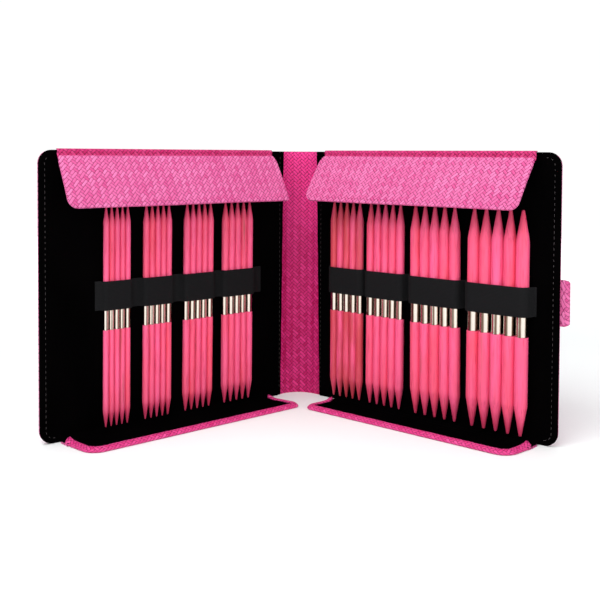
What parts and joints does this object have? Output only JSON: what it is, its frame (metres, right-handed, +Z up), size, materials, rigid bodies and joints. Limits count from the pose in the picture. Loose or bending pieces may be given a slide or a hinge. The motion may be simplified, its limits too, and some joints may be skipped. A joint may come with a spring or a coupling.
{
  "type": "folding needle case with double-pointed needles",
  "caption": "Book-style folding case that stands open, with elastic bands, top and bottom flaps and a strap, holding double-pointed knitting needles in graded sizes.",
  "frame": {"origin": "middle of the spine's foot, on the surface the case stands on", "axes": "+Z up, +X to the viewer's right of the open case, -Y out of the open side, towards the viewer"},
  "size_m": [0.3482, 0.1628, 0.1954],
  "materials": {
    "pink_leatherette": "satin, embossed diagonal basket weave",
    "black_suede": "matte suede",
    "board_core": "matte greyboard",
    "black_elastic": "matte ribbed weave",
    "dyed_birch": "satin lacquer over dyed laminated wood",
    "polished_sleeve": "polished nickel",
    "magnet_steel": "satin"
  },
  "bodies": {
    "spine": {"spine_outer_skin": "pink_leatherette", "spine_stiffener": "board_core", "spine_inner_skin": "pink_leatherette"},
    "left_cover": {"left_cover_skin": "pink_leatherette", "left_cover_board": "board_core", "left_cover_lining": "black_suede", "left_elastic_band": "black_elastic", "left_cover_magnet": "magnet_steel"},
    "left_top_gusset": {"left_top_gusset": "pink_leatherette"},
    "left_top_flap": {"left_top_flap_skin": "pink_leatherette", "left_top_flap_board": "board_core", "left_top_flap_lining": "black_suede"},
    "left_bottom_gusset": {"left_bottom_gusset": "pink_leatherette"},
    "left_bottom_flap": {"left_bottom_flap_skin": "pink_leatherette", "left_bottom_flap_board": "board_core", "left_bottom_flap_lining": "black_suede"},
    "needles_4_0": {"needle_4_0_upper_points": "dyed_birch", "needle_4_0_sleeves": "polished_sleeve", "needle_4_0_lower_points": "dyed_birch"},
    "needles_4_5": {"needle_4_5_upper_points": "dyed_birch", "needle_4_5_sleeves": "polished_sleeve", "needle_4_5_lower_points": "dyed_birch"},
    "needles_5_0": {"needle_5_0_upper_points": "dyed_birch", "needle_5_0_sleeves": "polished_sleeve", "needle_5_0_lower_points": "dyed_birch"},
    "needles_5_5": {"needle_5_5_upper_points": "dyed_birch", "needle_5_5_sleeves": "polished_sleeve", "needle_5_5_lower_points": "dyed_birch"},
    "right_cover": {"right_cover_skin": "pink_leatherette", "right_cover_board": "board_core", "right_cover_lining": "black_suede", "right_elastic_band": "black_elastic", "strap_anchor": "pink_leatherette"},
    "right_top_gusset": {"right_top_gusset": "pink_leatherette"},
    "right_top_flap": {"right_top_flap_skin": "pink_leatherette", "right_top_flap_board": "board_core", "right_top_flap_lining": "black_suede"},
    "right_bottom_gusset": {"right_bottom_gusset": "pink_leatherette"},
    "right_bottom_flap": {"right_bottom_flap_skin": "pink_leatherette", "right_bottom_flap_board": "board_core", "right_bottom_flap_lining": "black_suede"},
    "needles_6_0": {"needle_6_0_upper_points": "dyed_birch", "needle_6_0_sleeves": "polished_sleeve", "needle_6_0_lower_points": "dyed_birch"},
    "needles_6_5": {"needle_6_5_upper_points": "dyed_birch", "needle_6_5_sleeves": "polished_sleeve", "needle_6_5_lower_points": "dyed_birch"},
    "needles_8_0": {"needle_8_0_upper_points": "dyed_birch", "needle_8_0_sleeves": "polished_sleeve", "needle_8_0_lower_points": "dyed_birch"},
    "needles_9_0": {"needle_9_0_upper_points": "dyed_birch", "needle_9_0_sleeves": "polished_sleeve", "needle_9_0_lower_points": "dyed_birch"},
    "strap_root": {"strap_root": "pink_leatherette"},
    "strap_middle": {"strap_middle": "pink_leatherette"},
    "strap_tip": {"strap_tip": "pink_leatherette", "strap_tip_lining": "black_suede", "strap_magnet": "magnet_steel"}
  },
  "joints": [
    {"name": "left_cover_hinge", "type": "hinge", "parent": "spine", "child": "left_cover", "pos_m": [-0.01725, -0.009, 0], "axis": [0, 0, 1], "range_deg": [-41, 49]},
    {"name": "left_top_gusset_fold", "type": "hinge", "parent": "left_cover", "child": "left_top_gusset", "pos_m": [-0.0918, -0.07566, 0.1945], "axis": [0.7547, 0.6561, 0], "range_deg": [-110, 0]},
    {"name": "left_top_flap_fold", "type": "hinge", "parent": "left_top_gusset", "child": "left_top_flap", "pos_m": [-0.08708, -0.0811, 0.1945], "axis": [0.7547, 0.6561, 0], "range_deg": [-18.2, 21.7]},
    {"name": "left_bottom_gusset_fold", "type": "hinge", "parent": "left_cover", "child": "left_bottom_gusset", "pos_m": [-0.0918, -0.07566, 0.0009], "axis": [-0.7547, -0.6561, 0], "range_deg": [-90, 0]},
    {"name": "left_bottom_flap_fold", "type": "hinge", "parent": "left_bottom_gusset", "child": "left_bottom_flap", "pos_m": [-0.0857, -0.08268, 0.0009], "axis": [-0.7547, -0.6561, 0], "range_deg": [-73.5, 87.8]},
    {"name": "needles_4_0_slide", "type": "slide", "parent": "left_cover", "child": "needles_4_0", "axis": [0, 0, -1], "range_m": [-0.03, 0]},
    {"name": "needles_4_5_slide", "type": "slide", "parent": "left_cover", "child": "needles_4_5", "axis": [0, 0, -1], "range_m": [-0.03, 0]},
    {"name": "needles_5_0_slide", "type": "slide", "parent": "left_cover", "child": "needles_5_0", "axis": [0, 0, -1], "range_m": [-0.03, 0]},
    {"name": "needles_5_5_slide", "type": "slide", "parent": "left_cover", "child": "needles_5_5", "axis": [0, 0, -1], "range_m": [-0.03, 0]},
    {"name": "right_cover_hinge", "type": "hinge", "parent": "spine", "child": "right_cover", "pos_m": [0.01725, -0.009, 0], "axis": [0, 0, -1], "range_deg": [-41, 49]},
    {"name": "right_top_gusset_fold", "type": "hinge", "parent": "right_cover", "child": "right_top_gusset", "pos_m": [0.0918, -0.07566, 0.1945], "axis": [0.7547, -0.6561, 0], "range_deg": [-110, 0]},
    {"name": "right_top_flap_fold", "type": "hinge", "parent": "right_top_gusset", "child": "right_top_flap", "pos_m": [0.08708, -0.0811, 0.1945], "axis": [0.7547, -0.6561, 0], "range_deg": [-18.2, 21.7]},
    {"name": "right_bottom_gusset_fold", "type": "hinge", "parent": "right_cover", "child": "right_bottom_gusset", "pos_m": [0.0918, -0.07566, 0.0009], "axis": [-0.7547, 0.6561, 0], "range_deg": [-90, 0]},
    {"name": "right_bottom_flap_fold", "type": "hinge", "parent": "right_bottom_gusset", "child": "right_bottom_flap", "pos_m": [0.08341, -0.08532, 0.0009], "axis": [-0.7547, 0.6561, 0], "range_deg": [-73.5, 87.8]},
    {"name": "needles_6_0_slide", "type": "slide", "parent": "right_cover", "child": "needles_6_0", "axis": [0, 0, -1], "range_m": [-0.03, 0]},
    {"name": "needles_6_5_slide", "type": "slide", "parent": "right_cover", "child": "needles_6_5", "axis": [0, 0, -1], "range_m": [-0.03, 0]},
    {"name": "needles_8_0_slide", "type": "slide", "parent": "right_cover", "child": "needles_8_0", "axis": [0, 0, -1], "range_m": [-0.03, 0]},
    {"name": "needles_9_0_slide", "type": "slide", "parent": "right_cover", "child": "needles_9_0", "axis": [0, 0, -1], "range_m": [-0.03, 0]},
    {"name": "strap_root_fold", "type": "hinge", "parent": "right_cover", "child": "strap_root", "pos_m": [0.17289, -0.14258, 0.0954], "axis": [0, 0, -1], "range_deg": [0, 90]},
    {"name": "strap_middle_fold", "type": "hinge", "parent": "strap_root", "child": "strap_middle", "pos_m": [0.17543, -0.14332, 0.0954], "axis": [0, 0, -1], "range_deg": [0, 180]},
    {"name": "strap_tip_fold", "type": "hinge", "parent": "strap_middle", "child": "strap_tip", "pos_m": [0.14973, -0.11953, 0.0954], "axis": [0, 0, -1], "range_deg": [0, 90]}
  ],
  "couplings": [
    {"joint": "left_top_flap_fold", "follows": "left_cover_hinge", "ratio": 0.441},
    {"joint": "left_bottom_flap_fold", "follows": "left_cover_hinge", "ratio": 1.79},
    {"joint": "right_top_flap_fold", "follows": "right_cover_hinge", "ratio": 0.441},
    {"joint": "right_bottom_flap_fold", "follows": "right_cover_hinge", "ratio": 1.79}
  ]
}
